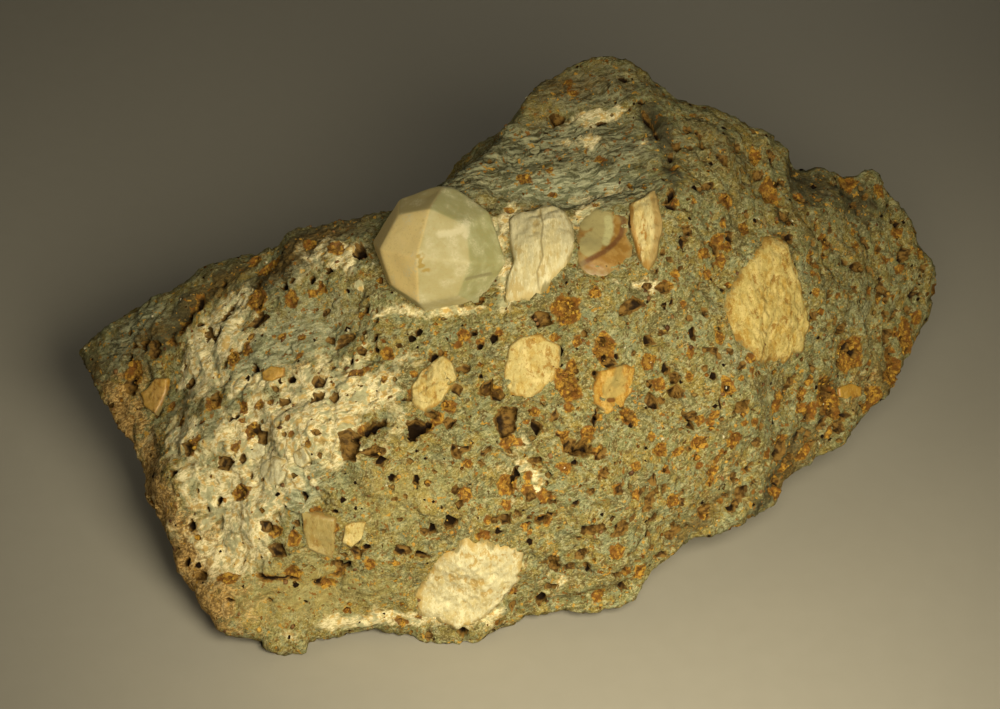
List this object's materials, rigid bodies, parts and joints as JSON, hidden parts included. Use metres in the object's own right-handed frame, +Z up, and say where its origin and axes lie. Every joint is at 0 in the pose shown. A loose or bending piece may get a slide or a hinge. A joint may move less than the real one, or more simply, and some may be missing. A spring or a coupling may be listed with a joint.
{
  "type": "pseudoleucite mineral specimen",
  "caption": "Broken block of vesicular grey-green volcanic rock carrying a large waxy pseudoleucite crystal and broken cream crystals; stands on a flat underside.",
  "frame": {"origin": "middle of the flat underside that the block rests on, on the surface it stands on", "axes": "+X along the block's length to the viewer's right, +Y away from the viewer, +Z up; the display side with the crystals faces -Y and up"},
  "size_m": [0.1264, 0.0756, 0.0579],
  "materials": {
    "grey_green_rock": "rough, finely granular broken rock with gas pits",
    "waxy_cream": "waxy, slightly translucent crystal faces",
    "white_cleaved": "satin, fibrous cleavage",
    "chalky_cream": "dull, granular broken crystal",
    "amber": "glassy, honey coloured",
    "brown": "dull brown, iron stained"
  },
  "bodies": {
    "root": {"matrix": "grey_green_rock", "crystal_main": "waxy_cream", "crystal_banded": "waxy_cream", "crystal_white": "white_cleaved", "crystal_striped": "chalky_cream", "crystal_large_right": "chalky_cream", "crystal_centre": "chalky_cream", "crystal_centre_left": "chalky_cream", "crystal_ringed": "chalky_cream", "crystal_foot": "chalky_cream", "crystal_amber_left": "amber", "crystal_glassy": "amber", "crystal_granular": "chalky_cream", "crystal_amber_small": "amber", "crystal_pale_hexagon": "chalky_cream", "crystal_pale_left": "chalky_cream", "crystal_pale_high": "chalky_cream", "crystal_brown_right": "brown", "crystal_back_upper": "chalky_cream", "crystal_back_left": "chalky_cream", "crystal_back_low": "chalky_cream", "crystal_back_right": "chalky_cream", "crystal_back_crest": "chalky_cream"}
  },
  "joints": []
}
